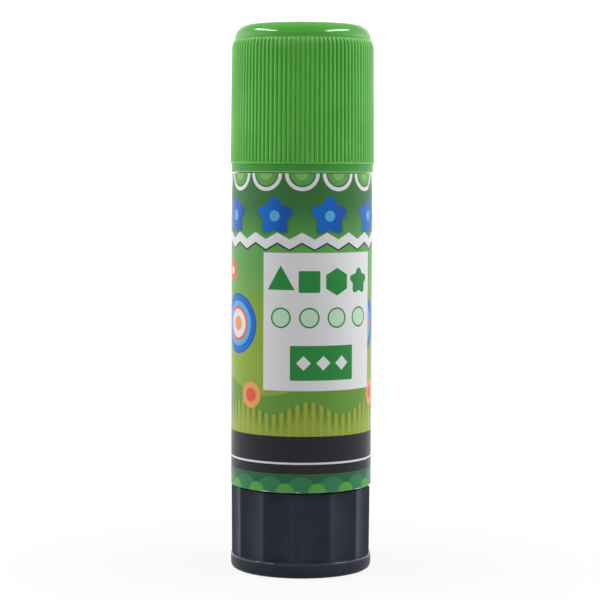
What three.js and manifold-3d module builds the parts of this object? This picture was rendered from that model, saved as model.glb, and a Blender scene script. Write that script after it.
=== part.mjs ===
// A twist-up glue stick: ribbed cap, labelled barrel, fluted knob, lead screw, carrier and glue.
// Millimetres, +Z up, the foot of the knob stands on z = 0, and the front faces -Y.
import * as THREE from 'three';
import { mergeVertices } from 'three/addons/utils/BufferGeometryUtils.js';
import Module from 'manifold-3d';

const wasm = await Module();
wasm.setup();

// Driving sizes of the whole stick
const totalHeight = 102.3;
const capWidth = 27.0;
const knobTop = 15.7;
const capEdge = 74.8;

// How far inside the cap's ribs each outer surface lies
const bandInset = 0.2;
const filmInset = 0.25;
const flangeInset = 0.22;
const gripInset = 0.32;
const crownInset = 0.65;

// Clearances
const pieceGap = 0.3;
const filmGap = 0.04;

// Facets
const roundSegments = 60;
const innerSegments = 44;
const filletSteps = 3;
const innerFilletSteps = 2;
const footFilletSteps = 3;
const fluteSteps = 4;

// Cap
const bandHeight = 1.6;
const ribCount = 98;
const ribDepth = 0.27;
const ribCrestShare = 0.5;
const ribTaper = 0.22;
const ribShoulderDrop = 3.85;
const ribHeadDrop = 3.0;
const ribHeadRise = 0.1;
const rimHeight = 0.3;
const rimRise = 0.03;
const crownFillet = 2.8;
const capWall = 1.0;
const capCeiling = 1.3;
const capDraft = 0.6;
const sealWall = 0.8;
const sealDepth = 3.5;
const edgeChamfer = 0.3;

// Barrel
const mouthDrop = 11.8;
const neckWall = 1.1;
const socketStep = 0.7;
const socketDepth = 4.45;
const snapRise = 2.45;
const snapGrooveDepth = 0.6;
const snapGrooveHalf = 0.9;
const railCount = 2;
const railWidth = 1.6;
const railDepth = 0.9;
const railStart = 1.0;

// Label
const filmThickness = 0.08;
const filmLap = THREE.MathUtils.degToRad(8);
const seamAngle = THREE.MathUtils.degToRad(67);
const labelMargin = 0.1;

// Knob
const flangeHeight = 2.9;
const footFillet = 1.15;
const fluteCount = 13;
const fluteDepth = 0.8;
const landAngle = THREE.MathUtils.degToRad(2);
const firstLand = THREE.MathUtils.degToRad(-4);
const gripDraft = 0.08;
const knobWall = 1.35;
const knobDeck = 1.5;
const webCount = 6;
const webThickness = 1.2;
const hollowSteps = 3;
const hubRadius = 5.2;
const spigotWall = 1.4;
const snapBeadRise = 0.6;
const snapBeadHalf = 0.55;

// Spindle: a two-start left-hand lead screw on a disc foot with a square drive stem
const lead = 6;
const threadStarts = 2;
const threadRoot = 2.0;
const threadCrest = 3.1;
const crestHalfWidth = 0.5;
const flankHalfWidth = 0.9;
const screwStepsPerTurn = 10;
const nutStepsPerTurn = 18;
const nutArcSteps = 2;
const tipDrop = 2.5;
const tipChamfer = 0.7;
const footRoom = 1.4;
const footThickness = 1.5;
const stemWidth = 5;
const stemLength = 8;

// Carrier and glue
const carrierHeight = 7.2;
const carrierFloor = 1.5;
const cupWall = 0.8;
const nutWall = 1.2;
const glueDrop = 4.5;
const glueChamfer = 0.6;
const tipRoom = 0.5;

// Radii that follow from the cap's width
const capRadius = capWidth / 2;
const bandRadius = capRadius - bandInset;
const crownRadius = capRadius - crownInset;
const flangeRadius = capRadius - flangeInset;
const gripRadius = capRadius - gripInset;
const filmLift = filmThickness + filmGap;
const filmInnerRadius = capRadius - filmInset - filmThickness;
const barrelRadius = filmInnerRadius - filmLift / 2 - filmGap;
const fitRadius = bandRadius - capWall;
const neckRadius = fitRadius - pieceGap;
const boreRadius = neckRadius - neckWall;
const socketRadius = boreRadius + socketStep;
const spigotRadius = socketRadius - pieceGap;
const spigotInner = spigotRadius - spigotWall;
const sliderRadius = boreRadius - pieceGap;
const notchRadius = boreRadius - railDepth - pieceGap;
const glueBoreRadius = threadCrest + tipRoom;

// Heights that follow from the driving ones
const ribFoot = capEdge + bandHeight;
const ribShoulder = totalHeight - ribShoulderDrop;
const ribHead = totalHeight - ribHeadDrop;
const barrelFoot = knobTop + pieceGap;
const barrelShoulder = capEdge - pieceGap;
const barrelMouth = totalHeight - mouthDrop;
const socketTop = barrelFoot + socketDepth;
const snapHeight = barrelFoot + snapRise;
const spigotTop = socketTop - pieceGap;
const sealFoot = barrelMouth - sealDepth;
const railFoot = socketTop + railStart;
const railTop = sealFoot - pieceGap;
const labelFoot = barrelFoot + labelMargin;
const labelTop = barrelShoulder - labelMargin;
const carrierFoot = socketTop + pieceGap;
const carrierRim = carrierFoot + carrierHeight;
const glueTop = barrelMouth - glueDrop;
const screwTip = glueTop - tipDrop;
const stemFoot = barrelFoot - stemLength;

// A point of a level section, its angle taken from the front towards +X
const polar = (radius, angle) => new THREE.Vector2(radius * Math.sin(angle), -radius * Math.cos(angle));

// A closed three.js geometry as a solid that can be joined and cut
const solidOf = (geometry) => {
  geometry.deleteAttribute('normal');
  geometry.deleteAttribute('uv');
  const merged = mergeVertices(geometry, 1e-5);
  const corners = merged.getIndex().array;
  const kept = [];
  for (let i = 0; i < corners.length; i += 3) {
    const [a, b, c] = corners.slice(i, i + 3);
    if (a !== b && b !== c && c !== a) kept.push(a, b, c);
  }
  const vertProperties = merged.attributes.position.array;
  const triVerts = Uint32Array.from(kept);
  return new wasm.Manifold(new wasm.Mesh({ numProp: 3, vertProperties, triVerts }));
};

// A ring or disc turned about the stick's axis. The outline is [radius, height] pairs, outside upwards.
const turned = (outline, segments = roundSegments) => {
  const points = [...outline, outline[0]].map(([radius, height]) => new THREE.Vector2(radius, height));
  return solidOf(new THREE.LatheGeometry(points, segments).rotateX(Math.PI / 2));
};

// A section drawn through stations, each with its own height, scale and turn
const lofted = (section, stations, curveSegments = 1) => {
  const last = stations.length - 1;
  const options = { depth: last, steps: last, bevelEnabled: false, curveSegments };
  const geometry = new THREE.ExtrudeGeometry(section, options);
  const position = geometry.attributes.position;
  const point = new THREE.Vector2();
  const centre = new THREE.Vector2();
  for (let i = 0; i < position.count; i += 1) {
    const { height, scale = 1, turn = 0 } = stations[Math.round(position.getZ(i))];
    point.set(position.getX(i), position.getY(i)).multiplyScalar(scale).rotateAround(centre, turn);
    position.setXYZ(i, point.x, point.y, height);
  }
  return solidOf(geometry);
};

// An upright block whose inner face lies at a given distance from the axis, facing an angle
const radialBlock = (width, inner, outer, foot, top, angle) => {
  const geometry = new THREE.BoxGeometry(width, outer - inner, top - foot);
  geometry.translate(0, -(inner + outer) / 2, (foot + top) / 2);
  return solidOf(geometry.rotateZ(angle));
};

// A quarter round of an outline, from its side to its top
const filletPoints = (centreRadius, centreHeight, radius, steps) =>
  Array.from({ length: steps + 1 }, (_, step) => {
    const angle = (step / steps) * (Math.PI / 2);
    return [centreRadius + radius * Math.cos(angle), centreHeight + radius * Math.sin(angle)];
  });

const angleOf = (index, count) => (index / count) * Math.PI * 2;

const piece = (name, solid, color, roughness) => {
  const { vertProperties, triVerts } = solid.getMesh();
  const geometry = new THREE.BufferGeometry();
  geometry.setAttribute('position', new THREE.BufferAttribute(vertProperties, 3));
  geometry.setIndex(new THREE.BufferAttribute(triVerts, 1));
  geometry.computeVertexNormals();
  const mesh = new THREE.Mesh(geometry, new THREE.MeshStandardMaterial({ color, roughness, metalness: 0 }));
  mesh.name = name;
  return mesh;
};

// The flutes between the knob's lands are shallow scoops that sink to one depth at their middle
function gripSection() {
  const pitch = angleOf(1, fluteCount);
  const chordRadius = gripRadius * Math.cos((pitch - landAngle) / 2);
  const controlRadius = 2 * (gripRadius - fluteDepth) - chordRadius;
  const section = new THREE.Shape();
  const start = polar(gripRadius, firstLand - landAngle / 2);
  section.moveTo(start.x, start.y);
  for (let i = 0; i < fluteCount; i += 1) {
    const land = firstLand + i * pitch;
    const leave = polar(gripRadius, land + landAngle / 2);
    const control = polar(controlRadius, land + pitch / 2);
    const arrive = polar(gripRadius, land + pitch - landAngle / 2);
    section.lineTo(leave.x, leave.y);
    section.quadraticCurveTo(control.x, control.y, arrive.x, arrive.y);
  }
  return section;
}

// One of the hollows under the knob, between the hub, the wall and two webs
function hollowSection(index) {
  const outer = gripRadius - fluteDepth - knobWall;
  const from = angleOf(index, webCount);
  const to = angleOf(index + 1, webCount);
  const trim = (radius) => webThickness / 2 / radius;
  const section = new THREE.Shape();
  section.absarc(0, 0, outer, from + trim(outer), to - trim(outer), false);
  section.absarc(0, 0, hubRadius, to - trim(hubRadius), from + trim(hubRadius), true);
  return section;
}

function knobSolid() {
  const footRound = filletPoints(flangeRadius - footFillet, -footFillet, footFillet, footFilletSteps);
  const flange = turned([
    [0, 0],
    ...footRound.reverse().map(([radius, height]) => [radius, -height]),
    [flangeRadius, flangeHeight - edgeChamfer / 2],
    [flangeRadius - edgeChamfer / 2, flangeHeight],
    [0, flangeHeight],
  ]);
  const grip = lofted(gripSection(), [
    { height: flangeHeight / 2, scale: 1 - gripDraft / gripRadius },
    { height: knobTop },
  ], fluteSteps);
  const spigot = turned([
    [spigotInner, knobTop - knobDeck / 2],
    [spigotRadius, knobTop - knobDeck / 2],
    [spigotRadius, snapHeight - snapBeadHalf],
    [spigotRadius + snapBeadRise, snapHeight],
    [spigotRadius, snapHeight + snapBeadHalf],
    [spigotRadius, spigotTop - edgeChamfer],
    [spigotRadius - edgeChamfer, spigotTop],
    [spigotInner, spigotTop],
  ], innerSegments);
  let solid = flange.add(grip).add(spigot);
  for (let i = 0; i < webCount; i += 1) {
    const hollow = [{ height: -1 }, { height: knobTop - knobDeck }];
    solid = solid.subtract(lofted(hollowSection(i), hollow, hollowSteps));
  }
  const socketHalf = stemWidth / 2 + pieceGap;
  const socketFoot = stemFoot - pieceGap;
  return solid.subtract(radialBlock(2 * socketHalf, -socketHalf, socketHalf, socketFoot, spigotTop, 0));
}

// The barrel's neck takes the cap, its foot takes the knob's snap ring, and rails guide the carrier
function barrelSolid() {
  let solid = turned([
    [socketRadius + edgeChamfer, barrelFoot],
    [barrelRadius - edgeChamfer, barrelFoot],
    [barrelRadius, barrelFoot + edgeChamfer],
    [barrelRadius, barrelShoulder - edgeChamfer],
    [barrelRadius - edgeChamfer, barrelShoulder],
    [neckRadius, barrelShoulder],
    [neckRadius, barrelMouth - edgeChamfer],
    [neckRadius - edgeChamfer, barrelMouth],
    [boreRadius + edgeChamfer, barrelMouth],
    [boreRadius, barrelMouth - edgeChamfer],
    [boreRadius, socketTop],
    [socketRadius, socketTop],
    [socketRadius, snapHeight + snapGrooveHalf],
    [socketRadius + snapGrooveDepth, snapHeight + snapGrooveHalf / 2],
    [socketRadius + snapGrooveDepth, snapHeight - snapGrooveHalf / 2],
    [socketRadius, snapHeight - snapGrooveHalf],
    [socketRadius, barrelFoot + edgeChamfer],
  ]);
  for (let i = 0; i < railCount; i += 1) {
    const angle = angleOf(i + 0.5, railCount);
    const inner = boreRadius - railDepth;
    const outer = boreRadius + pieceGap;
    solid = solid.add(radialBlock(railWidth, inner, outer, railFoot, railTop, angle));
  }
  return solid;
}

// Cuts the ways for the barrel's rails out of a piece that slides in it
function notched(solid, foot, top) {
  let cut = solid;
  for (let i = 0; i < railCount; i += 1) {
    const width = railWidth + 2 * pieceGap;
    const angle = angleOf(i + 0.5, railCount);
    cut = cut.subtract(radialBlock(width, notchRadius, boreRadius, foot - 1, top + 1, angle));
  }
  return cut;
}

// The film climbs by its own thickness in a turn, so that its end laps over its start
function labelSolid() {
  const steps = roundSegments + 1;
  const sweep = Math.PI * 2 + filmLap;
  const inside = [];
  const outside = [];
  for (let i = 0; i <= steps; i += 1) {
    const along = (i / steps) * sweep;
    const angle = seamAngle - filmLap + along;
    const radius = filmInnerRadius - filmLift / 2 + (filmLift * along) / (Math.PI * 2);
    inside.push(polar(radius, angle));
    outside.push(polar(radius + filmThickness, angle));
  }
  const section = new THREE.Shape([...outside, ...inside.reverse()]);
  return lofted(section, [{ height: labelFoot }, { height: labelTop }]);
}

// Two round-topped ridges in a level section make the two starts of the thread
function threadSection(room) {
  const crestHalf = angleOf(crestHalfWidth + room, lead);
  const flankHalf = angleOf(flankHalfWidth + room, lead);
  const startAngle = angleOf(1, threadStarts);
  const section = new THREE.Shape();
  for (let i = 0; i < threadStarts; i += 1) {
    const ridge = i * startAngle;
    section.absarc(0, 0, threadCrest + room, ridge - crestHalf, ridge + crestHalf, false);
    section.absarc(0, 0, threadRoot + room, ridge + flankHalf, ridge + startAngle - flankHalf, false);
  }
  return section;
}

// A left-hand thread turns against its rise
const threadTurn = (height) => -angleOf(height, lead);

function threadStations(foot, top, stepsPerTurn) {
  const steps = Math.ceil(((top - foot) / lead) * stepsPerTurn);
  return Array.from({ length: steps + 1 }, (_, step) => {
    const height = foot + (step / steps) * (top - foot);
    return { height, turn: threadTurn(height) };
  });
}

function spindleSolid() {
  const footTop = barrelFoot + footThickness;
  const footRadius = spigotInner - footRoom;
  const foot = turned([
    [0, barrelFoot],
    [footRadius, barrelFoot],
    [footRadius, footTop],
    [0, footTop],
  ], innerSegments);
  const half = stemWidth / 2;
  const stem = radialBlock(stemWidth, -half, half, stemFoot, barrelFoot + footThickness / 2, 0);
  const stations = threadStations(footTop - footThickness / 2, screwTip - tipChamfer, screwStepsPerTurn);
  const tipScale = threadRoot / threadCrest;
  stations.push({ height: screwTip, scale: tipScale, turn: threadTurn(screwTip) });
  return foot.add(stem).add(lofted(threadSection(0), stations));
}

// The carrier is a cup for the foot of the glue with the screw's nut as its hub
function carrierSolid() {
  const floor = carrierFoot + carrierFloor;
  const nutRadius = threadCrest + pieceGap + nutWall;
  const cup = turned([
    [0, carrierFoot],
    [sliderRadius - edgeChamfer, carrierFoot],
    [sliderRadius, carrierFoot + edgeChamfer],
    [sliderRadius, carrierRim],
    [sliderRadius - cupWall, carrierRim],
    [sliderRadius - cupWall, floor],
    [nutRadius, floor],
    [nutRadius, carrierRim],
    [0, carrierRim],
  ], innerSegments);
  const stations = threadStations(carrierFoot - 1, carrierRim + 1, nutStepsPerTurn);
  const nutThread = lofted(threadSection(pieceGap), stations, nutArcSteps);
  return notched(cup.subtract(nutThread), carrierFoot, carrierRim);
}

function glueSolid() {
  const foot = carrierFoot + carrierFloor + pieceGap;
  const overRim = carrierRim + pieceGap;
  const inCup = sliderRadius - cupWall - pieceGap;
  const roundNut = threadCrest + 2 * pieceGap + nutWall;
  const stick = turned([
    [roundNut, foot],
    [inCup, foot],
    [inCup, overRim],
    [sliderRadius, overRim],
    [sliderRadius, glueTop - glueChamfer],
    [sliderRadius - glueChamfer, glueTop],
    [0, glueTop],
    [0, screwTip + tipRoom],
    [glueBoreRadius, screwTip + tipRoom],
    [glueBoreRadius, overRim],
    [roundNut, overRim],
  ], innerSegments);
  return notched(stick, foot, glueTop);
}

// Ribs with flat crests and sharp valleys, drawn in a little towards the crown, their heads sloped to it
function ribSolid() {
  const pitch = angleOf(1, ribCount);
  const points = [];
  for (let i = 0; i < ribCount; i += 1) {
    const angle = i * pitch;
    points.push(polar(capRadius, angle - (ribCrestShare * pitch) / 2));
    points.push(polar(capRadius, angle + (ribCrestShare * pitch) / 2));
    points.push(polar(capRadius - ribDepth, angle + pitch / 2));
  }
  return lofted(new THREE.Shape(points), [
    { height: ribFoot + rimHeight / 2 },
    { height: ribShoulder, scale: 1 - ribTaper / capRadius },
    { height: ribHead, scale: (crownRadius + ribHeadRise) / capRadius },
  ]);
}

// The cap is hollow, with a rim at the foot of its ribs and a sleeve that plugs the barrel's mouth
function capSolid() {
  const footRim = capRadius + rimRise;
  const roundCentre = [crownRadius - crownFillet, totalHeight - crownFillet];
  const fillet = filletPoints(...roundCentre, crownFillet, filletSteps);
  const body = turned([
    [0, capEdge],
    [bandRadius, capEdge],
    [bandRadius, ribFoot],
    [footRim, ribFoot],
    [footRim, ribFoot + rimHeight],
    [crownRadius, ribFoot + rimHeight],
    ...fillet,
    [0, totalHeight],
  ], ribCount);
  const ceiling = totalHeight - capCeiling;
  const innerFillet = crownFillet - capWall;
  const innerCentre = [fitRadius - capDraft - innerFillet, ceiling - innerFillet];
  const innerCorner = filletPoints(...innerCentre, innerFillet, innerFilletSteps);
  const cavity = turned([
    [0, capEdge - 1],
    [fitRadius + edgeChamfer, capEdge - 1],
    [fitRadius + edgeChamfer, capEdge],
    [fitRadius, capEdge + edgeChamfer],
    [fitRadius, barrelMouth],
    ...innerCorner,
    [0, ceiling],
  ], innerSegments);
  const sleeve = turned([
    [sliderRadius - sealWall, sealFoot],
    [sliderRadius - edgeChamfer, sealFoot],
    [sliderRadius, sealFoot + edgeChamfer],
    [sliderRadius, ceiling + capCeiling / 2],
    [sliderRadius - sealWall, ceiling + capCeiling / 2],
  ], innerSegments);
  return body.add(ribSolid()).subtract(cavity).add(sleeve);
}

const group = new THREE.Group();
group.add(
  piece('cap', capSolid(), 0x5cb53f, 0.4),
  piece('barrel', barrelSolid(), 0xe9eaea, 0.4),
  piece('label', labelSolid(), 0x3f9148, 0.35),
  piece('knob', knobSolid(), 0x2b2e37, 0.4),
  piece('spindle', spindleSolid(), 0xe6e4dc, 0.45),
  piece('carrier', carrierSolid(), 0xe6e4dc, 0.45),
  piece('glue', glueSolid(), 0xf2f0e6, 0.55),
);

export default group;
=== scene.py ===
# A twist-up glue stick in a soft white studio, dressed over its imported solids.
# Lengths are in millimetres here and become metres as they reach Blender.
# Angles about the stick are taken from its front, -Y, towards +X.
import math

import bmesh
import bpy
from mathutils import Euler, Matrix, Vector


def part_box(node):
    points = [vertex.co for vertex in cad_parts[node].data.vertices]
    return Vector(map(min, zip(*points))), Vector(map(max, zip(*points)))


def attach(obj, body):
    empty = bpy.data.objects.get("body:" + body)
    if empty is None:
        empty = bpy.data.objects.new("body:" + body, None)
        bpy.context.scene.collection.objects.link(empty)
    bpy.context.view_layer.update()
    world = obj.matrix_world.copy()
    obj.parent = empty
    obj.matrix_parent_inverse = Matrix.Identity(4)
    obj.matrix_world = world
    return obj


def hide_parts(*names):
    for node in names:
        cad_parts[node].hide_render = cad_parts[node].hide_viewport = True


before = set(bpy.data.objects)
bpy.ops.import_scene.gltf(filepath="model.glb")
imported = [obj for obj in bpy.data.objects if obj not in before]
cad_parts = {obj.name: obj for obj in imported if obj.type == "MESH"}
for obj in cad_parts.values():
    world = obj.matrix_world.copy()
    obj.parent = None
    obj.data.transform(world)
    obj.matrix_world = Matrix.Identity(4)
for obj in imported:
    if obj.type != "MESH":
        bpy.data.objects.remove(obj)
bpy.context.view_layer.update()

MM = 0.001


def span(node):
    """The lowest and highest corner of a solid, in millimetres."""
    low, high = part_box(node)
    return Vector(low) / MM, Vector(high) / MM


CAP_LOW, CAP_HIGH = span("cap")
BARREL_LOW, BARREL_HIGH = span("barrel")
SPINDLE_LOW, SPINDLE_HIGH = span("spindle")
GLUE_LOW, GLUE_HIGH = span("glue")
LABEL_LOW = span("label")[0]
KNOB_HIGH = span("knob")[1]
CARRIER_HIGH = span("carrier")[1]

# The photograph's frame and eye
FRAME_PIXELS = 600
FOCAL_PIXELS = 2004
EYE_DISTANCE = 378.0
EYE_HEIGHT = 75.55
EYE_SIDE = -0.34
HORIZON_PIXEL = 168.5
CAMERA_ROLL = math.radians(0.25)
SENSOR_WIDTH = 36

# Radii of the outer surfaces, most of them by how far they lie inside the crests of the ribs
RIM_RISE = 0.03
CREST = CAP_HIGH.y - RIM_RISE
BAND = CREST - 0.2
FILM_OUTER = CREST - 0.25
FLANGE = CREST - 0.22
GRIP = CREST - 0.32
CROWN = CREST - 0.65

# The room between pieces that meet
PIECE_GAP = 0.3

# Cap
RIBS = 98
RIB_SAMPLES = 8
RIB_ROUNDNESS = 2.4
RIB_DEPTH = 0.27
RIB_TAPER = 0.22
RIB_FOOT = CAP_LOW.z + 1.6
RIB_SHOULDER = CAP_HIGH.z - 3.85
RIB_HEAD = CAP_HIGH.z - 3.0
RIB_HEAD_RISE = 0.1
RIB_RUNOUT = 0.12
RIM_HEIGHT = 0.25
CROWN_FILLET = 2.8
CROWN_STEPS = 12
CAP_FIT = 12.3
CAP_MOUTH = CAP_FIT + 0.3
CAP_MOUTH_HEIGHT = 0.4
CAP_CEILING = CAP_HIGH.z - 1.3
CEILING_RIM = CAP_CEILING - 0.6
SKIRT_TAPER = CAP_CEILING - 2.1
SEAL_OUTER = 10.6
SEAL_INNER = 9.8
SEAL_FOOT = BARREL_HIGH.z - 3.5

# Label
FILM = 0.08
FILM_LIFT = 0.12
FILM_SEAT = FILM_OUTER - FILM - FILM_LIFT / 2
FILM_EDGE = 0.03
FILM_TOP = CAP_LOW.z - 0.16
FILM_LAP = math.radians(8)
FILM_SEAM = math.radians(67)
FILM_STEPS = 420

# Barrel
BARREL_BODY = FILM_SEAT - 0.04
SHOULDER = CAP_LOW.z - 0.1
NECK = 12.0
NECK_BEAD = 0.15
NECK_BEAD_HALF = 0.4
NECK_BEAD_MIDDLE = SHOULDER + 2.4
BORE = 10.9
SOCKET = 11.6
SOCKET_TOP = BARREL_LOW.z + 4.45
SNAP = BARREL_LOW.z + 2.45
GROOVE_DEPTH = 0.6
GROOVE_HALF = 0.9
GROOVE_FLOOR_HALF = 0.4
RAIL_WIDTH = 1.6
RAIL_INNER = 10.0
RAIL_ROOT = BORE + 0.3
RAIL_FOOT = SOCKET_TOP + 1
RAIL_TOP = SEAL_FOOT - PIECE_GAP

# Knob
FLUTES = 13
FLUTE_SAMPLES = 40
FLUTE_DEPTH = 0.8
LAND_HALF = math.radians(0.9)
LAND_SOFTNESS = 0.05
FIRST_LAND = math.radians(-4)
FLANGE_HEIGHT = 2.9
FOOT_FILLET = 1.15
FLANGE_FILLET = 0.3
GRIP_DRAFT = 0.08
KNOB_TOP = BARREL_LOW.z - PIECE_GAP
KNOB_DECK = 1.5
KNOB_WALL = 1.35
WEBS = 6
WEB_THICKNESS = 1.2
HUB = 5.2
HOLLOW_STEPS = 10
HOLLOW_FOOT = -1
SPIGOT_OUTER = 11.3
SPIGOT_INNER = 9.9
SNAP_BEAD = 0.6
SNAP_BEAD_HALF = 0.55
STEM_SOCKET = 5.6

# Glue
CUP_ROOM = 9.5
NUT_ROOM = 4.9
GLUE_BORE = 3.6
GLUE_BORE_TOP = SPINDLE_HIGH.z + 0.5
RAIL_WAY_DEPTH = 0.9
RAIL_WAY_HALF = 1.0
RAIL_WAY_EDGE = 1.35

# Meshes
ROUND = 240
SHARP_ANGLE = math.radians(32)
TINY = 1e-6
WELD = 0.001


def place(radius, angle, height):
    return Vector((radius * math.sin(angle), -radius * math.cos(angle), height)) * MM


def rounded(corners, steps=4):
    """Outline points (radius, height, dip) from corners (radius, height, rounding, dip)."""
    places = [Vector((radius, height, dip)) for radius, height, _, dip in corners]
    points = []
    for i, here in enumerate(places):
        rounding = corners[i][2]
        if rounding == 0:
            points.append(here)
            continue
        before = places[i - 1]
        after = places[(i + 1) % len(places)]
        start = here.lerp(before, min(0.5, rounding / max((before - here).length, TINY)))
        end = here.lerp(after, min(0.5, rounding / max((after - here).length, TINY)))
        for step in range(steps + 1):
            t = step / steps
            points.append(start.lerp(here, t).lerp(here.lerp(end, t), t))
    return points


def add_turned(mesh, outline, segments, pattern=None, closed=False):
    """Turns an outline about the axis. A point's dip times pattern(angle) comes off its radius."""
    rings = []
    for radius, height, dip in outline:
        if radius < TINY:
            rings.append([mesh.verts.new((0, 0, height * MM))])
            continue
        ring = []
        for i in range(segments):
            angle = math.tau * i / segments
            reach = radius - dip * pattern(angle) if dip else radius
            ring.append(mesh.verts.new(place(reach, angle, height)))
        rings.append(ring)
    following = rings[1:] + rings[:1] if closed else rings[1:]
    for low, high in zip(rings, following):
        for i in range(segments):
            j = (i + 1) % segments
            corners = [
                low[i % len(low)],
                low[j % len(low)],
                high[j % len(high)],
                high[i % len(high)],
            ]
            corners = list(dict.fromkeys(corners))
            if len(corners) > 2:
                mesh.faces.new(corners)


def add_prism(mesh, outline, foot, top):
    """An upright prism over an outline that lies on the ground in metres."""
    low = [mesh.verts.new(point + Vector((0, 0, foot * MM))) for point in outline]
    high = [mesh.verts.new(point + Vector((0, 0, top * MM))) for point in outline]
    count = len(outline)
    for i in range(count):
        j = (i + 1) % count
        mesh.faces.new((low[i], low[j], high[j], high[i]))
    mesh.faces.new(low)
    mesh.faces.new(high)


def new_object(name, data):
    thing = bpy.data.objects.new(name, data)
    bpy.context.scene.collection.objects.link(thing)
    return thing


def mesh_data(name, mesh):
    """Blender's mesh from a bmesh, which is freed."""
    data = bpy.data.meshes.new(name)
    mesh.to_mesh(data)
    mesh.free()
    return data


def shade_smooth(data):
    """Shades a mesh smooth between its sharp edges."""
    data.polygons.foreach_set("use_smooth", [True] * len(data.polygons))
    data.set_sharp_from_angle(angle=SHARP_ANGLE)


def finished(name, mesh, body, node):
    """A smooth-shaded object from a bmesh, riding on its body in place of a solid."""
    bmesh.ops.recalc_face_normals(mesh, faces=mesh.faces)
    data = mesh_data(name, mesh)
    shade_smooth(data)
    piece = new_object(name, data)
    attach(piece, body)
    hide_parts(node)
    return piece


def eased(low, high, value):
    t = min(1.0, max(0.0, (value - low) / (high - low)))
    return t * t * (3 - 2 * t)


def rib_pattern(angle):
    """0 on the top of a rib's rounded crest and 1 in the sharp valley between two ribs."""
    phase = (angle * RIBS / math.tau) % 1
    return (2 * min(phase, 1 - phase)) ** RIB_ROUNDNESS


def flute_pattern(angle):
    """0 on a land and 1 at the middle of a flute, with softly broken edges."""
    pitch = math.tau / FLUTES
    offset = (angle - FIRST_LAND - pitch / 2) % pitch
    from_middle = min(offset, pitch - offset) / (pitch / 2 - LAND_HALF)
    scoop = 1 - from_middle * from_middle
    return (scoop + math.sqrt(scoop * scoop + LAND_SOFTNESS * LAND_SOFTNESS)) / 2


def rail_way(angle):
    """The shallow ways that the barrel's rails leave down the glue's sides."""
    across = abs(math.cos(angle)) * GLUE_HIGH.y
    return RAIL_WAY_DEPTH * (1 - eased(RAIL_WAY_HALF, RAIL_WAY_EDGE, across))


def make_cap():
    edge = CAP_LOW.z
    top = CAP_HIGH.z
    rib_top = CREST - RIB_TAPER
    foot_rim = RIB_FOOT + RIM_HEIGHT
    step_out = CROWN + RIB_HEAD_RISE
    corners = [
        (0, CAP_CEILING, 0, 0),
        (SEAL_INNER, CAP_CEILING, 0.4, 0),
        (SEAL_INNER, SEAL_FOOT, 0.2, 0),
        (SEAL_OUTER, SEAL_FOOT, 0.25, 0),
        (SEAL_OUTER, CEILING_RIM, 0.3, 0),
        (CAP_FIT - 1.0, CEILING_RIM, 0.5, 0),
        (CAP_FIT - 0.6, SKIRT_TAPER, 0.6, 0),
        (CAP_FIT, BARREL_HIGH.z, 0.6, 0),
        (CAP_FIT, edge + CAP_MOUTH_HEIGHT, 0.1, 0),
        (CAP_MOUTH, edge, 0.06, 0),
        (BAND, edge, 0.2, 0),
        (BAND, RIB_FOOT, 0.1, 0),
        (CREST, RIB_FOOT, 0.06, 0),
        (CREST, foot_rim, 0.12, 0),
        (CREST, foot_rim + RIB_RUNOUT, 0.05, RIB_DEPTH),
        (rib_top, RIB_SHOULDER, 0.5, RIB_DEPTH),
        (step_out, RIB_HEAD - RIB_RUNOUT, 0.05, RIB_DEPTH),
        (step_out, RIB_HEAD, 0.06, 0),
        (CROWN, RIB_HEAD + 0.06, 0.03, 0),
        (CROWN, top - CROWN_FILLET, 0.1, 0),
    ]
    outline = rounded(corners, 3)
    for step in range(1, CROWN_STEPS + 1):
        turn = step / CROWN_STEPS * math.pi / 2
        radius = CROWN - CROWN_FILLET * (1 - math.cos(turn))
        outline.append(Vector((radius, top - CROWN_FILLET * (1 - math.sin(turn)), 0)))
    outline.append(Vector((0, top, 0)))
    mesh = bmesh.new()
    add_turned(mesh, outline, RIBS * RIB_SAMPLES, rib_pattern)
    return finished("cap_shell", mesh, "cap", "cap")


def make_barrel():
    foot = BARREL_LOW.z
    mouth = BARREL_HIGH.z
    corners = [
        (BARREL_BODY, foot, 0.25, 0),
        (BARREL_BODY, SHOULDER, 0.08, 0),
        (NECK, SHOULDER, 0.2, 0),
        (NECK, NECK_BEAD_MIDDLE - NECK_BEAD_HALF, 0.2, 0),
        (NECK + NECK_BEAD, NECK_BEAD_MIDDLE, 0.2, 0),
        (NECK, NECK_BEAD_MIDDLE + NECK_BEAD_HALF, 0.2, 0),
        (NECK, mouth, 0.4, 0),
        (BORE, mouth, 0.35, 0),
        (BORE, SOCKET_TOP, 0, 0),
        (SOCKET, SOCKET_TOP, 0.1, 0),
        (SOCKET, SNAP + GROOVE_HALF, 0.1, 0),
        (SOCKET + GROOVE_DEPTH, SNAP + GROOVE_FLOOR_HALF, 0.1, 0),
        (SOCKET + GROOVE_DEPTH, SNAP - GROOVE_FLOOR_HALF, 0.1, 0),
        (SOCKET, SNAP - GROOVE_HALF, 0.1, 0),
        (SOCKET, foot, 0.3, 0),
    ]
    mesh = bmesh.new()
    add_turned(mesh, rounded(corners), ROUND, closed=True)
    for side in (-1, 1):
        add_rail(mesh, side)
    return finished("barrel_tube", mesh, "barrel", "barrel")


def add_rail(mesh, side):
    """A guide rail in the bore, rounded along its inner edge and sunk a little into the wall."""
    half = RAIL_WIDTH / 2
    section = rounded([
        (RAIL_ROOT, -half, 0, 0),
        (RAIL_INNER, -half, 0.25, 0),
        (RAIL_INNER, half, 0.25, 0),
        (RAIL_ROOT, half, 0, 0),
    ])
    outline = [Vector((side * x, y, 0)) * MM for x, y, _ in section]
    add_prism(mesh, outline, RAIL_FOOT, RAIL_TOP)


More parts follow.
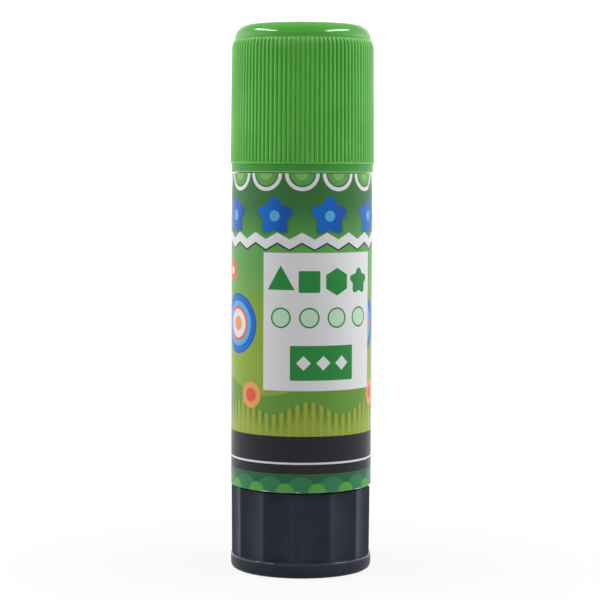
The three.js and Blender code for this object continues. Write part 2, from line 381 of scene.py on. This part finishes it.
def film_radius(along):
    """The inner face's radius, which climbs by more than the film's thickness in a turn."""
    return FILM_SEAT + FILM_LIFT * along / math.tau


def make_label():
    """The wrapped film, with a map of itself laid flat: U along the wrap, V up it, from 0 to 1."""
    mesh = bmesh.new()
    flat = mesh.loops.layers.uv.new("Film")
    sweep = math.tau + FILM_LAP
    start = FILM_SEAM - FILM_LAP
    heights = [LABEL_LOW.z, LABEL_LOW.z + FILM_EDGE, FILM_TOP - FILM_EDGE, FILM_TOP]
    insets = [FILM_EDGE, 0, 0, FILM_EDGE]
    outer = []
    inner = []
    for i in range(FILM_STEPS + 1):
        along = sweep * i / FILM_STEPS
        radius = film_radius(along)
        outer.append([
            mesh.verts.new(place(radius + FILM - inset, start + along, height))
            for height, inset in zip(heights, insets)
        ])
        inner.append([mesh.verts.new(place(radius, start + along, height)) for height in heights])

    def add_face(verts, cells):
        face = mesh.faces.new(verts)
        for loop, (column, row) in zip(face.loops, cells):
            rise = (heights[row] - heights[0]) / (heights[-1] - heights[0])
            loop[flat].uv = (column / FILM_STEPS, rise)

    last = len(heights) - 1
    for i in range(FILM_STEPS):
        for side in (outer, inner):
            for j in range(last):
                cells = [(i, j), (i + 1, j), (i + 1, j + 1), (i, j + 1)]
                add_face([side[column][row] for column, row in cells], cells)
        for j in (0, last):
            rim = [outer[i][j], outer[i + 1][j], inner[i + 1][j], inner[i][j]]
            add_face(rim, [(i, j), (i + 1, j), (i + 1, j), (i, j)])
    for i in (0, FILM_STEPS):
        for j in range(last):
            end = [outer[i][j], outer[i][j + 1], inner[i][j + 1], inner[i][j]]
            add_face(end, [(i, j), (i, j + 1), (i, j + 1), (i, j)])
    return finished("label_film", mesh, "barrel", "label")


def cut_with(piece, cutter):
    """Takes the cutter's volume out of a piece."""
    modifier = piece.modifiers.new("cut", "BOOLEAN")
    modifier.operation = "DIFFERENCE"
    modifier.solver = "EXACT"
    modifier.object = cutter
    graph = bpy.context.evaluated_depsgraph_get()
    graph.update()
    data = bpy.data.meshes.new_from_object(piece.evaluated_get(graph))
    mesh = bmesh.new()
    mesh.from_mesh(data)
    bmesh.ops.dissolve_degenerate(mesh, dist=WELD * MM, edges=mesh.edges)
    mesh.to_mesh(data)
    mesh.free()
    piece.modifiers.clear()
    piece.data = data
    bpy.data.objects.remove(cutter)
    shade_smooth(data)


def hollow_cutter():
    """The hollows under the knob between its hub, wall and webs, and its socket for the spindle."""
    mesh = bmesh.new()
    wall = GRIP - FLUTE_DEPTH - KNOB_WALL
    pitch = math.tau / WEBS
    for web in range(WEBS):
        outline = []
        for radius, order in ((wall, 1), (HUB, -1)):
            trim = WEB_THICKNESS / 2 / radius
            first = web * pitch + trim
            sweep = (web + 1) * pitch - trim - first
            turns = [first + sweep * step / HOLLOW_STEPS for step in range(HOLLOW_STEPS + 1)]
            outline += [place(radius, turn + math.pi / 2, 0) for turn in turns[::order]]
        add_prism(mesh, outline, HOLLOW_FOOT, KNOB_TOP - KNOB_DECK)
    half = STEM_SOCKET / 2 * MM
    square = [Vector((x * half, y * half, 0)) for x, y in ((-1, -1), (1, -1), (1, 1), (-1, 1))]
    add_prism(mesh, square, SPINDLE_LOW.z - PIECE_GAP, KNOB_HIGH.z)
    bmesh.ops.recalc_face_normals(mesh, faces=mesh.faces)
    return new_object("hollows", mesh_data("hollows", mesh))


def make_knob():
    corners = [
        (0, 0, 0, 0),
        (FLANGE, 0, FOOT_FILLET, 0),
        (FLANGE, FLANGE_HEIGHT, FLANGE_FILLET, 0),
        (GRIP - GRIP_DRAFT, FLANGE_HEIGHT, 0.1, FLUTE_DEPTH),
        (GRIP, KNOB_TOP, 0.15, FLUTE_DEPTH),
        (SPIGOT_OUTER, KNOB_TOP, 0.1, 0),
        (SPIGOT_OUTER, SNAP - SNAP_BEAD_HALF, 0.1, 0),
        (SPIGOT_OUTER + SNAP_BEAD, SNAP, 0.15, 0),
        (SPIGOT_OUTER, SNAP + SNAP_BEAD_HALF, 0.1, 0),
        (SPIGOT_OUTER, KNOB_HIGH.z, 0.3, 0),
        (SPIGOT_INNER, KNOB_HIGH.z, 0.2, 0),
        (SPIGOT_INNER, KNOB_TOP, 0.2, 0),
        (0, KNOB_TOP, 0, 0),
    ]
    mesh = bmesh.new()
    add_turned(mesh, rounded(corners), FLUTES * FLUTE_SAMPLES, flute_pattern)
    piece = finished("knob_grip", mesh, "knob", "knob")
    cut_with(piece, hollow_cutter())
    return piece


def make_glue():
    radius = GLUE_HIGH.y
    over_rim = CARRIER_HIGH.z + PIECE_GAP
    corners = [
        (NUT_ROOM, GLUE_LOW.z, 0, 0),
        (CUP_ROOM, GLUE_LOW.z, 0.2, 0),
        (CUP_ROOM, over_rim, 0, 0),
        (radius, over_rim, 0.1, 1),
        (radius, GLUE_HIGH.z, 1.0, 1),
        (0, GLUE_HIGH.z, 0, 0),
        (0, GLUE_BORE_TOP, 0, 0),
        (GLUE_BORE, GLUE_BORE_TOP, 0.2, 0),
        (GLUE_BORE, over_rim, 0, 0),
        (NUT_ROOM, over_rim, 0, 0),
    ]
    mesh = bmesh.new()
    add_turned(mesh, rounded(corners, 5), ROUND * 2, rail_way, closed=True)
    return finished("glue_core", mesh, "carrier", "glue")


class Field:
    """A number in a material's nodes. Arithmetic on it adds the nodes that work it out."""

    def __init__(self, tree, socket):
        self.tree = tree
        self.socket = socket

    def math(self, operation, *others):
        node = self.tree.nodes.new("ShaderNodeMath")
        node.operation = operation
        for socket, value in zip(node.inputs, (self, *others)):
            connect(self.tree, value, socket)
        return Field(self.tree, node.outputs[0])

    def __add__(self, other):
        return self.math("ADD", other)

    def __sub__(self, other):
        return self.math("SUBTRACT", other)

    def __mul__(self, other):
        return self.math("MULTIPLY", other)

    def __abs__(self):
        return self.math("ABSOLUTE")

    def least(self, other):
        return self.math("MINIMUM", other)

    def most(self, other):
        return self.math("MAXIMUM", other)

    def wrapped(self, pitch):
        """The distance from the middle of the nearest of the steps that repeat at a pitch."""
        return self.math("WRAP", pitch / 2, -pitch / 2)

    def ramp(self, start, end, low=0.0, high=1.0):
        """Eases from low at start to high at end."""
        node = self.tree.nodes.new("ShaderNodeMapRange")
        node.interpolation_type = "SMOOTHSTEP"
        for socket, value in zip(node.inputs, (self, start, end, low, high)):
            connect(self.tree, value, socket)
        return Field(self.tree, node.outputs[0])


def connect(tree, value, socket):
    """Links a field to a socket, or sets the socket to a plain value."""
    if isinstance(value, Field):
        tree.links.new(value.socket, socket)
    else:
        socket.default_value = value


def srgb(red, green, blue):
    """A colour as it is read on a screen, from 0 to 255, as Blender's linear colour."""
    def linear(level):
        share = level / 255
        return share / 12.92 if share <= 0.04045 else ((share + 0.055) / 1.055) ** 2.4
    return (linear(red), linear(green), linear(blue), 1.0)


def mixed(under, over, share):
    """Two colours, each a tuple or a field, mixed by a field."""
    tree = share.tree
    node = tree.nodes.new("ShaderNodeMix")
    node.data_type = "RGBA"
    connect(tree, share, node.inputs[0])
    connect(tree, under, node.inputs[6])
    connect(tree, over, node.inputs[7])
    return Field(tree, node.outputs[2])


def new_material(name):
    material = bpy.data.materials.new(name)
    material.use_nodes = True
    tree = material.node_tree
    return material, tree, tree.nodes["Principled BSDF"]


def object_place(tree):
    return tree.nodes.new("ShaderNodeTexCoord").outputs["Object"]


def height_of(tree):
    """The height of the shaded point, in millimetres."""
    split = tree.nodes.new("ShaderNodeSeparateXYZ")
    tree.links.new(object_place(tree), split.inputs[0])
    return Field(tree, split.outputs[2]) * (1 / MM)


def grain(tree, size, detail=2.0, stretch=(1, 1, 1)):
    """Noise about 0.5 whose features are size millimetres across, drawn out by stretch."""
    mapping = tree.nodes.new("ShaderNodeMapping")
    mapping.inputs["Scale"].default_value = [1 / part for part in stretch]
    tree.links.new(object_place(tree), mapping.inputs["Vector"])
    noise = tree.nodes.new("ShaderNodeTexNoise")
    noise.inputs["Scale"].default_value = 1 / (size * MM)
    noise.inputs["Detail"].default_value = detail
    tree.links.new(mapping.outputs["Vector"], noise.inputs["Vector"])
    return Field(tree, noise.outputs["Fac"])


def add_bump(tree, shader, height, depth):
    """Raises the surface by a field times depth, in millimetres."""
    node = tree.nodes.new("ShaderNodeBump")
    node.inputs["Strength"].default_value = 1.0
    node.inputs["Distance"].default_value = depth * MM
    connect(tree, height, node.inputs["Height"])
    tree.links.new(node.outputs["Normal"], shader.inputs["Normal"])


def set_plain(shader, **values):
    """Sets sockets that are the same all over, by their names with underscores for spaces."""
    for name, value in values.items():
        shader.inputs[name.replace("_", " ")].default_value = value


def cap_plastic():
    """Green plastic, with painted shade that deepens the plain band and the crown, and a pale
    painted highlight along the lower edge and at the rib heads.
    """
    material, tree, shader = new_material("cap_plastic")
    height = height_of(tree)
    colour = mixed(srgb(87, 175, 64), srgb(94, 185, 71), grain(tree, 9, 3).ramp(0.35, 0.65))
    # Painted shade: the plain band below the ribs is a deeper green.
    colour = mixed(srgb(53, 150, 37), colour, height.ramp(RIB_FOOT - 0.1, RIB_FOOT + 0.1))
    # Painted shade: the crown above the ribs is a slightly darker green.
    crown = height.ramp(RIB_HEAD, RIB_HEAD + 0.4)
    colour = mixed(colour, srgb(87, 170, 68), crown)
    # Painted highlight: a pale green line along the cap's lower edge.
    highlight_green = srgb(140, 206, 124)
    colour = mixed(highlight_green, colour, height.ramp(CAP_LOW.z + 0.12, CAP_LOW.z + 0.32))
    # Painted highlight: the same pale green where the ribs end under the crown.
    rib_head_highlight = height.ramp(RIB_HEAD - 0.4, RIB_HEAD - 0.05, 0.0, 0.9)
    rib_head_highlight = rib_head_highlight * height.ramp(RIB_HEAD, RIB_HEAD + 0.1, 1.0, 0.0)
    colour = mixed(colour, highlight_green, rib_head_highlight)
    connect(tree, colour, shader.inputs["Base Color"])
    streak = grain(tree, 0.7, 2, (1, 1, 14))
    polish = height.ramp(RIB_HEAD - 0.4, RIB_HEAD + 0.2, 1.0, 0.45)
    connect(tree, streak.ramp(0.3, 0.75, 0.28, 0.34) * polish, shader.inputs["Roughness"])
    set_plain(shader, IOR=1.49, Specular_IOR_Level=0.42, Subsurface_Weight=0.45,
              Subsurface_Scale=0.8 * MM, Subsurface_Radius=(0.5, 1.0, 0.35))
    add_bump(tree, shader, grain(tree, 0.16, 2) + grain(tree, 2.5, 2) * 1.5, 0.0015)
    return material


def barrel_plastic():
    material, tree, shader = new_material("barrel_plastic")
    colour = mixed(srgb(226, 227, 226), srgb(238, 239, 238), grain(tree, 6, 3).ramp(0.35, 0.65))
    connect(tree, colour, shader.inputs["Base Color"])
    streak = grain(tree, 0.8, 3, (1, 1, 9))
    connect(tree, streak.ramp(0.3, 0.7, 0.28, 0.42), shader.inputs["Roughness"])
    set_plain(shader, IOR=1.49, Subsurface_Weight=0.3, Subsurface_Scale=1.5 * MM,
              Subsurface_Radius=(1.0, 1.0, 0.9))
    add_bump(tree, shader, grain(tree, 0.2, 2), 0.002)
    return material


def knob_plastic():
    """Dark plastic with fine dust, polished along the flange's upper edge."""
    material, tree, shader = new_material("knob_plastic")
    colour = mixed(srgb(47, 50, 61), srgb(52, 55, 67), grain(tree, 5, 4).ramp(0.35, 0.7))
    dust = grain(tree, 0.22, 1).ramp(0.71, 0.8, 0.0, 0.35)
    colour = mixed(colour, srgb(92, 94, 100), dust)
    connect(tree, colour, shader.inputs["Base Color"])
    height = height_of(tree)
    edge = height.ramp(FLANGE_HEIGHT - 0.5, FLANGE_HEIGHT - 0.25)
    edge = edge * height.ramp(FLANGE_HEIGHT + 0.01, FLANGE_HEIGHT + 0.04, 1.0, 0.0)
    connect(tree, edge * 0.8, shader.inputs["Coat Weight"])
    streak = grain(tree, 0.5, 3, (1, 1, 10))
    connect(tree, streak.ramp(0.3, 0.7, 0.3, 0.42), shader.inputs["Roughness"])
    set_plain(shader, IOR=1.49, Specular_IOR_Level=0.06, Coat_Roughness=0.07)
    add_bump(tree, shader, grain(tree, 0.14, 2), 0.0018)
    return material


def natural_plastic():
    material, tree, shader = new_material("natural_plastic")
    colour = mixed(srgb(222, 220, 212), srgb(234, 232, 226), grain(tree, 4, 3).ramp(0.35, 0.65))
    connect(tree, colour, shader.inputs["Base Color"])
    connect(tree, grain(tree, 0.6, 3).ramp(0.3, 0.7, 0.36, 0.5), shader.inputs["Roughness"])
    set_plain(shader, IOR=1.49, Subsurface_Weight=0.3, Subsurface_Scale=1.5 * MM,
              Subsurface_Radius=(1.0, 1.0, 0.85))
    add_bump(tree, shader, grain(tree, 0.2, 2), 0.003)
    return material


def glue_wax():
    material, tree, shader = new_material("glue_wax")
    colour = mixed(srgb(232, 230, 216), srgb(244, 243, 234), grain(tree, 3.5, 4).ramp(0.3, 0.7))
    connect(tree, colour, shader.inputs["Base Color"])
    connect(tree, grain(tree, 1.2, 3).ramp(0.35, 0.65, 0.34, 0.55), shader.inputs["Roughness"])
    set_plain(shader, IOR=1.45, Subsurface_Weight=0.55, Subsurface_Scale=3.0 * MM,
              Subsurface_Radius=(1.0, 0.95, 0.8))
    drawn = grain(tree, 0.5, 3, (1, 1, 12))
    add_bump(tree, shader, drawn + grain(tree, 1.6, 3) * 2.0, 0.02)
    return material


# Colours of the print
LEAF_DEEP = srgb(52, 112, 54)
LEAF_MID = srgb(92, 160, 80)
LEAF_LIGHT = srgb(126, 184, 92)
MEADOW = srgb(140, 168, 58)
HILL_FAR = srgb(100, 150, 56)
HILL_NEAR = srgb(160, 174, 64)
HILL_SHADE = srgb(92, 132, 50)
PAPER = srgb(224, 224, 226)
SKY = srgb(4, 106, 202)
SKY_DEEP = srgb(16, 78, 168)
SKY_LIGHT = srgb(84, 172, 222)
CORAL = srgb(222, 96, 76)
ORANGE = srgb(232, 158, 92)
INK_GREEN = srgb(36, 134, 58)
INK_PALE = srgb(192, 224, 198)
STRIPE = srgb(25, 28, 36)
SHADOW_GREEN = srgb(28, 66, 40)
HEDGE = srgb(33, 98, 60)
HEDGE_MID = srgb(44, 123, 79)
HEDGE_LIGHT = srgb(84, 160, 68)
WHITE = srgb(255, 255, 255)

# The print's places: heights up the stick, and lengths along the film from the front's middle
INK_EDGE = 0.05
GIRTH = math.tau * FILM_OUTER
THIRD = GIRTH / 3
SEAM = FILM_SEAM * FILM_OUTER
LAP = FILM_LAP * FILM_OUTER
BLOOM_HEIGHT = 66.9
ZIGZAG_HEIGHT = 62.9
PETAL_HEIGHT = 56.6
TARGET_HEIGHT = 46.8
SUN_HEIGHT = 33.8
HILL_HEIGHT = 35.4
FIELD_HEIGHT = 31.6
PANEL_LEFT = -7.4
PANEL_MIDDLE = (PANEL_LEFT + SEAM) / 2
PANEL_FOOT = 34.9
PANEL_TOP = 60.2
SHAPES_HEIGHT = 54.9
RINGS_HEIGHT = 48.3
PLATE_HEIGHT = 40.0
SHAPES_PITCH = 5.3
SPOTS_PITCH = 3.7
STRIPE_FOOT = 19.5
STRIPE_TOP = 26.5
STRIPE_LINE = 21.5
STRIPE_LINE_HALF = 0.18


def ink(distance):
    """1 inside a shape and 0 outside, from the distance to its outline in millimetres."""
    return distance.ramp(INK_EDGE, -INK_EDGE)


def disc(across, up, radius):
    return (across * across + up * up).math("SQRT") - radius


def band(up, low, high):
    return abs(up - (low + high) / 2) - (high - low) / 2


def block(across, up, half_width, half_height, corner):
    side = abs(across) - (half_width - corner)
    rise = abs(up) - (half_height - corner)
    outside = disc(side.most(0.0), rise.most(0.0), corner)
    return outside + side.most(rise).least(0.0)


def polygon(across, up, radius, sides, turn=0.0):
    """A regular polygon, by the furthest of its sides. Radius is the inscribed circle's."""
    reach = None
    for side in range(sides):
        angle = turn + math.tau * side / sides
        here = across * math.cos(angle) + up * math.sin(angle)
        reach = here if reach is None else reach.most(here)
    return reach - radius


def flower(across, up, radius, petals):
    """A round form with soft petals, the first of them pointing up."""
    angle = across.math("ARCTAN2", up)
    wave = (angle * petals).math("COSINE") * (0.17 * radius)
    return disc(across, up, radius) - wave


def nested_discs(colour, across, up, rings):
    """Discs of (radius, colour) over one another on one middle."""
    for radius, shade in rings:
        colour = mixed(colour, shade, ink(disc(across, up, radius)))
    return colour


def in_a_row(along, count, pitch):
    """The distance along from each of the places in a row about the panel's middle."""
    return [along - (PANEL_MIDDLE + (i - (count - 1) / 2) * pitch) for i in range(count)]


def film_place(tree):
    """A point's length along the film from the front's middle, and its height up the stick."""
    node = tree.nodes.new("ShaderNodeUVMap")
    node.uv_map = "Film"
    split = tree.nodes.new("ShaderNodeSeparateXYZ")
    tree.links.new(node.outputs["UV"], split.inputs[0])
    along = Field(tree, split.outputs[0]) * (GIRTH + LAP) + (SEAM - LAP - GIRTH)
    up = Field(tree, split.outputs[1]) * (FILM_TOP - LABEL_LOW.z) + LABEL_LOW.z
    return along, up


def print_border(colour, along, up):
    """Scallops, blooms and a zigzag around the top."""
    scallop = along.wrapped(GIRTH / 12)
    scales = ((3.2, PAPER), (2.5, LEAF_DEEP), (2.2, LEAF_MID), (1.2, LEAF_LIGHT))
    colour = nested_discs(colour, scallop, up - FILM_TOP, scales)

    bloom = (along + 5.2).wrapped(GIRTH / 8)
    lift = up - BLOOM_HEIGHT
    blue = mixed(SKY, SKY_DEEP, bloom.ramp(-2.5, 3.5))
    colour = mixed(colour, LEAF_DEEP, flower(bloom, lift, 3.25, 5).ramp(0.6, -0.3))
    colour = mixed(colour, blue, ink(flower(bloom, lift, 3.05, 5)))
    colour = mixed(colour, SKY_LIGHT, ink(disc(bloom, lift, 1.0)))

    zigzag = up - ZIGZAG_HEIGHT + abs(along.wrapped(GIRTH / 18)) * 0.55
    colour = mixed(colour, SHADOW_GREEN, ink(band(zigzag, -1.15, 1.0)))
    return mixed(colour, PAPER, ink(band(zigzag, -0.8, 1.0)))


def print_hills(colour, along, up):
    """Rolling hills, the nearer one in upright rows."""
    roll = (along * (math.tau / THIRD)).math("SINE")
    swell = (along * (math.tau / THIRD * 2) + 1.0).math("SINE")
    far = up - roll * 1.6 - HILL_HEIGHT
    near = up - swell * 1.2 - FIELD_HEIGHT
    rows = abs(along.wrapped(GIRTH / 56)).ramp(0.1, 0.6)
    tilled = mixed(HILL_SHADE, HILL_NEAR, rows.most(near.ramp(-4.5, 0.0, 1.0, 0.0) * 0.8))
    colour = mixed(colour, HILL_FAR, ink(far))
    return mixed(colour, tilled, ink(near))


def print_motifs(colour, along, up):
    """Target rings, a small flower and a sun, three times around."""
    rings = (
        (5.6, SKY_DEEP),
        (5.35, SKY),
        (4.2, SKY_LIGHT),
        (3.3, CORAL),
        (2.7, PAPER),
        (1.4, ORANGE),
    )
    colour = nested_discs(colour, (along + 14.6).wrapped(THIRD), up - TARGET_HEIGHT, rings)
    petal = (along + 17.4).wrapped(THIRD)
    lift = up - PETAL_HEIGHT
    colour = mixed(colour, CORAL, ink(flower(petal, lift, 2.1, 6)))
    colour = mixed(colour, PAPER, ink(disc(petal, lift, 0.8)))
    sun = (along + 10.4).wrapped(THIRD)
    return nested_discs(colour, sun, up - SUN_HEIGHT, ((2.4, ORANGE), (1.3, CORAL)))


def print_panel(colour, along, up):
    """The white panel at the front, with bare shapes, rings and a plate of three spots."""
    panel = band(along, PANEL_LEFT, SEAM + 1).most(band(up, PANEL_FOOT, PANEL_TOP))
    colour = mixed(colour, PAPER, ink(panel))
    shapes = (
        lambda across, rise: polygon(across, rise, 1.5, 3, -math.pi / 2),
        lambda across, rise: block(across, rise, 2.0, 2.0, 0.3),
        lambda across, rise: polygon(across, rise, 2.2, 6),
        lambda across, rise: flower(across, rise, 2.1, 5),
    )
    for shape, across in zip(shapes, in_a_row(along, len(shapes), SHAPES_PITCH)):
        colour = mixed(colour, INK_GREEN, ink(shape(across, up - SHAPES_HEIGHT)))
        ring = disc(across, up - RINGS_HEIGHT, 1.9)
        colour = mixed(colour, INK_GREEN, ink(ring))
        colour = mixed(colour, INK_PALE, ink(ring + 0.3))
    plate = block(along - PANEL_MIDDLE, up - PLATE_HEIGHT, 6.2, 3.2, 0.2)
    colour = mixed(colour, INK_GREEN, ink(plate))
    for across in in_a_row(along, 3, SPOTS_PITCH):
        spot = polygon(across, up - PLATE_HEIGHT, 0.95, 4, math.pi / 4)
        colour = mixed(colour, PAPER, ink(spot))
    return colour


def print_foot(colour, along, up):
    """The dark stripe with its thin line, and the hedge under it, with a frayed pale line along its
    lower edge that is a painted highlight of the film's cut edge.
    """
    colour = mixed(colour, STRIPE, ink(band(up, STRIPE_FOOT, STRIPE_TOP)))
    colour = mixed(colour, PAPER, ink(abs(up - STRIPE_LINE) - STRIPE_LINE_HALF))
    colour = mixed(colour, HEDGE, ink(up - STRIPE_FOOT))
    for shift, radius, shade in ((0, 2.9, HEDGE_MID), (0.5, 1.7, HEDGE_LIGHT)):
        mound = (along + shift * GIRTH / 14).wrapped(GIRTH / 14)
        colour = mixed(colour, shade, ink(disc(mound, up - LABEL_LOW.z, radius)))
    # Painted highlight: an uneven pale line along the film's lower edge.
    edge_highlight_width = grain(along.tree, 2.2, 2).ramp(0.5, 0.66, 0.0, 0.14)
    return mixed(colour, INK_PALE, ink(up - LABEL_LOW.z - edge_highlight_width))


def film_print():
    """Satin film with plain motifs on leaf greens and the white panel."""
    material, tree, shader = new_material("film_print")
    along, up = film_place(tree)
    colour = mixed(MEADOW, LEAF_MID, up.ramp(44, 60))
    colour = mixed(colour, LEAF_DEEP, up.ramp(60, 70))
    for draw in (print_border, print_hills, print_motifs, print_panel, print_foot):
        colour = draw(colour, along, up)
    speck = grain(tree, 0.12, 1).ramp(0.3, 0.7, 0.0, 0.012)
    connect(tree, mixed(colour, WHITE, speck), shader.inputs["Base Color"])
    connect(tree, grain(tree, 3, 2).ramp(0.3, 0.7, 0.28, 0.34), shader.inputs["Roughness"])
    set_plain(shader, IOR=1.5, Specular_IOR_Level=0.18)
    add_bump(tree, shader, grain(tree, 9, 1) * 6.0 + grain(tree, 0.3, 1) * 0.3, 0.004)
    return material


# Studio, with the floor's lengths in metres
FLOOR_RADIUS = 3.0
FLOOR_SEGMENTS = 96
FADE_START = 0.015
FADE_END = 0.07
LAMP_WIDTH = 640
LAMP_HEIGHT = 90
LAMP_POWER = 4.6
LAMP_AIM = Vector((0, 0, 55))


def background_rays(tree, glossy_share):
    """1 for rays that show the plain white background, and a share of it for a reflection's."""
    path = tree.nodes.new("ShaderNodeLightPath")
    seen = Field(tree, path.outputs["Is Camera Ray"])
    through = Field(tree, path.outputs["Is Transmission Ray"])
    mirrored = Field(tree, path.outputs["Is Glossy Ray"]) * glossy_share
    return seen.most(through).most(mirrored)


def studio_floor():
    """A pale floor that fades to plain white away from the stick and keeps its shadow near it."""
    mesh = bmesh.new()
    bmesh.ops.create_circle(mesh, cap_ends=True, segments=FLOOR_SEGMENTS, radius=FLOOR_RADIUS)
    floor = new_object("floor", mesh_data("floor", mesh))
    material, tree, shader = new_material("floor_paper")
    set_plain(shader, Base_Color=srgb(190, 190, 190), Roughness=0.9)
    length = tree.nodes.new("ShaderNodeVectorMath")
    length.operation = "LENGTH"
    tree.links.new(object_place(tree), length.inputs[0])
    fade = Field(tree, length.outputs["Value"]).ramp(FADE_START, FADE_END, 0.9, 1.0)
    white = tree.nodes.new("ShaderNodeEmission")
    blend = tree.nodes.new("ShaderNodeMixShader")
    connect(tree, fade * background_rays(tree, 1.0), blend.inputs[0])
    tree.links.new(shader.outputs[0], blend.inputs[1])
    tree.links.new(white.outputs[0], blend.inputs[2])
    tree.links.new(blend.outputs[0], tree.nodes["Material Output"].inputs["Surface"])
    floor.data.materials.append(material)


def soft_world():
    """A pale surround, dimmer on the camera's side and from above, and white behind the stick."""
    world = bpy.data.worlds.new("studio")
    bpy.context.scene.world = world
    world.use_nodes = True
    tree = world.node_tree
    background = tree.nodes["Background"]
    background.inputs["Color"].default_value = (1, 1, 1, 1)
    split = tree.nodes.new("ShaderNodeSeparateXYZ")
    tree.links.new(tree.nodes.new("ShaderNodeTexCoord").outputs["Generated"], split.inputs[0])
    side = abs(Field(tree, split.outputs[0]))
    depth = Field(tree, split.outputs[1])
    low = Field(tree, split.outputs[2]).ramp(0.1, 0.7, 1.0, 0.35)
    light = (depth.ramp(-0.5, 0.4, 0.22, 1.25) + side.ramp(0.6, 1.0, 0.0, 1.0)) * low
    shown = background_rays(tree, depth.ramp(-0.2, 0.5) * low)
    connect(tree, light.most(shown), background.inputs["Strength"])


def softbox(name, place_mm):
    data = bpy.data.lights.new(name, "AREA")
    data.shape = "RECTANGLE"
    data.size = LAMP_WIDTH * MM
    data.size_y = LAMP_HEIGHT * MM
    data.energy = LAMP_POWER
    lamp = new_object(name, data)
    lamp.location = Vector(place_mm) * MM
    aim = LAMP_AIM * MM - lamp.location
    lamp.rotation_euler = aim.to_track_quat("-Z", "Y").to_euler()


def studio_camera():
    data = bpy.data.cameras.new("eye")
    data.sensor_width = SENSOR_WIDTH
    data.lens = SENSOR_WIDTH * FOCAL_PIXELS / FRAME_PIXELS
    data.clip_start = 0.01
    camera = new_object("eye", data)
    camera.location = Vector((EYE_SIDE, -EYE_DISTANCE, EYE_HEIGHT)) * MM
    dip = math.atan2(FRAME_PIXELS / 2 - HORIZON_PIXEL, FOCAL_PIXELS)
    roll = Euler((0, 0, CAMERA_ROLL)).to_matrix()
    turn = Euler((math.pi / 2 - dip, 0, 0)).to_matrix() @ roll
    camera.rotation_euler = turn.to_euler()
    bpy.context.scene.camera = camera


def dress(piece, material):
    piece.data.materials.clear()
    piece.data.materials.append(material)


bpy.context.scene.view_settings.view_transform = "Standard"

dress(make_cap(), cap_plastic())
dress(make_barrel(), barrel_plastic())
dress(make_label(), film_print())
dress(make_knob(), knob_plastic())
dress(make_glue(), glue_wax())
inner = natural_plastic()
for node in ("spindle", "carrier"):
    for material_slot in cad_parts[node].material_slots:
        material_slot.material = inner

studio_floor()
soft_world()
softbox("side_left", (-577, -60, 680))
softbox("side_right", (560, -140, 680))
studio_camera()
